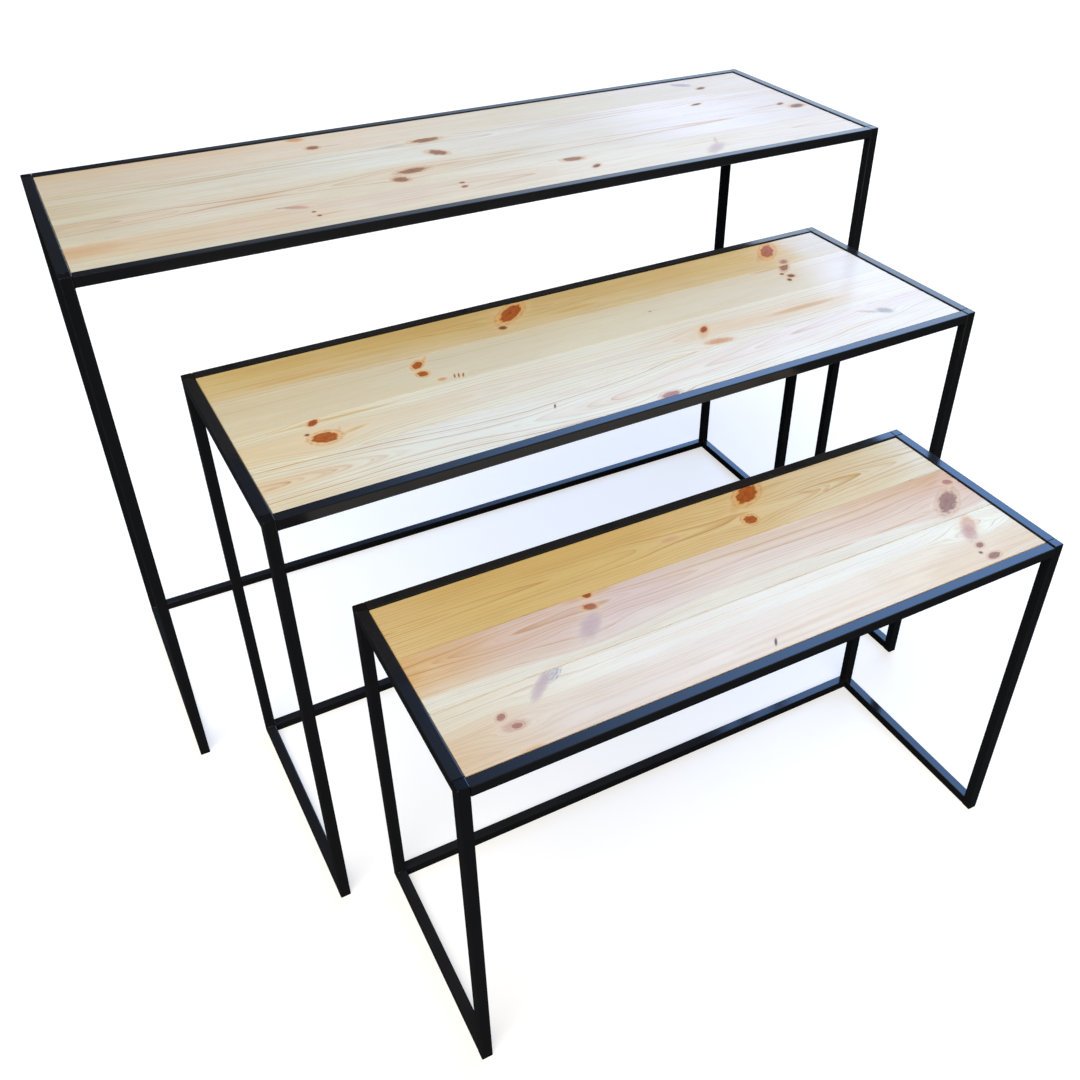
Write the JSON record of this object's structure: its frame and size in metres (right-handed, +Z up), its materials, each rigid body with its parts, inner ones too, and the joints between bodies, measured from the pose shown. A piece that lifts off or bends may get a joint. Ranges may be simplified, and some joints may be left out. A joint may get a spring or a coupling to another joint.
{
  "type": "nesting tables",
  "caption": "Nesting tables in graded sizes: black square-tube frames, open at the front, under tongue-and-groove pine tops; each smaller table slides in under the next.",
  "frame": {"origin": "centre of the whole set's footprint, on the floor", "axes": "+X along the tables to the right seen from the open front, +Y to the back where the large table stands, +Z up"},
  "size_m": [1.34, 1.1584, 0.893],
  "materials": {
    "frame_paint": "satin black powder coat with a faint orange-peel texture",
    "bearer_paint": "satin black paint on flat bar",
    "large_pine": "clear-lacquered knotty pine, pale beige and pink",
    "middle_pine": "clear-lacquered knotty pine, pale yellow",
    "small_pine": "clear-lacquered knotty pine, golden yellow to pink"
  },
  "bodies": {
    "large_table": {"large_leg_front_left": "frame_paint", "large_leg_back_left": "frame_paint", "large_leg_front_right": "frame_paint", "large_leg_back_right": "frame_paint", "large_top_crossbar_left": "frame_paint", "large_foot_crossbar_left": "frame_paint", "large_top_crossbar_right": "frame_paint", "large_foot_crossbar_right": "frame_paint", "large_top_rail_front": "frame_paint", "large_top_rail_back": "frame_paint", "large_foot_rail_back": "frame_paint", "large_bearer_1": "bearer_paint", "large_bearer_2": "bearer_paint", "large_bearer_3": "bearer_paint", "large_board_1": "large_pine", "large_board_2": "large_pine", "large_board_3": "large_pine", "large_board_4": "large_pine"},
    "middle_table": {"middle_leg_front_left": "frame_paint", "middle_leg_back_left": "frame_paint", "middle_leg_front_right": "frame_paint", "middle_leg_back_right": "frame_paint", "middle_top_crossbar_left": "frame_paint", "middle_foot_crossbar_left": "frame_paint", "middle_top_crossbar_right": "frame_paint", "middle_foot_crossbar_right": "frame_paint", "middle_top_rail_front": "frame_paint", "middle_top_rail_back": "frame_paint", "middle_foot_rail_back": "frame_paint", "middle_bearer_1": "bearer_paint", "middle_bearer_2": "bearer_paint", "middle_bearer_3": "bearer_paint", "middle_board_1": "middle_pine", "middle_board_2": "middle_pine", "middle_board_3": "middle_pine", "middle_board_4": "middle_pine"},
    "small_table": {"small_leg_front_left": "frame_paint", "small_leg_back_left": "frame_paint", "small_leg_front_right": "frame_paint", "small_leg_back_right": "frame_paint", "small_top_crossbar_left": "frame_paint", "small_foot_crossbar_left": "frame_paint", "small_top_crossbar_right": "frame_paint", "small_foot_crossbar_right": "frame_paint", "small_top_rail_front": "frame_paint", "small_top_rail_back": "frame_paint", "small_foot_rail_back": "frame_paint", "small_bearer_1": "bearer_paint", "small_bearer_2": "bearer_paint", "small_board_1": "small_pine", "small_board_2": "small_pine", "small_board_3": "small_pine"}
  },
  "joints": [
    {"name": "nest_middle", "type": "slide", "parent": "large_table", "child": "middle_table", "axis": [0, 1, 0], "range_m": [-0.2, 0.385]},
    {"name": "nest_small", "type": "slide", "parent": "middle_table", "child": "small_table", "axis": [0, 1, 0], "range_m": [-0.2, 0.375]}
  ]
}
